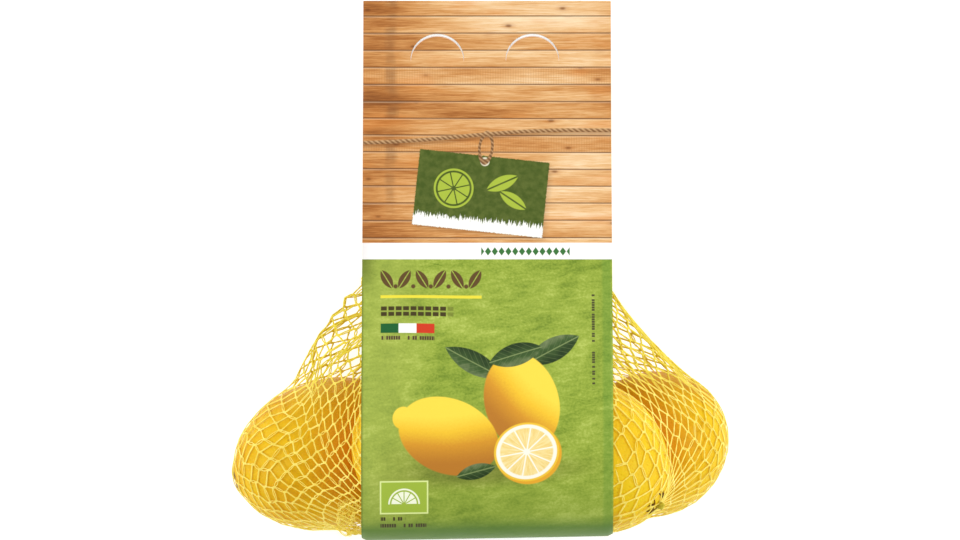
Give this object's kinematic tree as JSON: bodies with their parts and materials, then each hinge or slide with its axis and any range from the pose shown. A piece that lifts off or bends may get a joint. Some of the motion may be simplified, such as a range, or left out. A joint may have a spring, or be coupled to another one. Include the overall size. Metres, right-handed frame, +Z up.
{
  "type": "net of lemons",
  "caption": "Lemons in a tube of knitted netting with a printed film band and a flat film header with two finger slits, lying on its back with the printed side up.",
  "frame": {"origin": "middle of the bounding box on the surface that the pack lies on", "axes": "+X across the film band, +Y towards the header's free edge, +Z up out of the printed side"},
  "size_m": [0.2103, 0.2273, 0.1218],
  "materials": {
    "netting": "knitted plastic thread, pale yellow",
    "lemon_peel": "waxy, finely pored peel",
    "film": "printed plastic film, satin"
  },
  "bodies": {
    "root": {"net_of_lemons": "netting", "film_band": "film"}
  },
  "joints": []
}
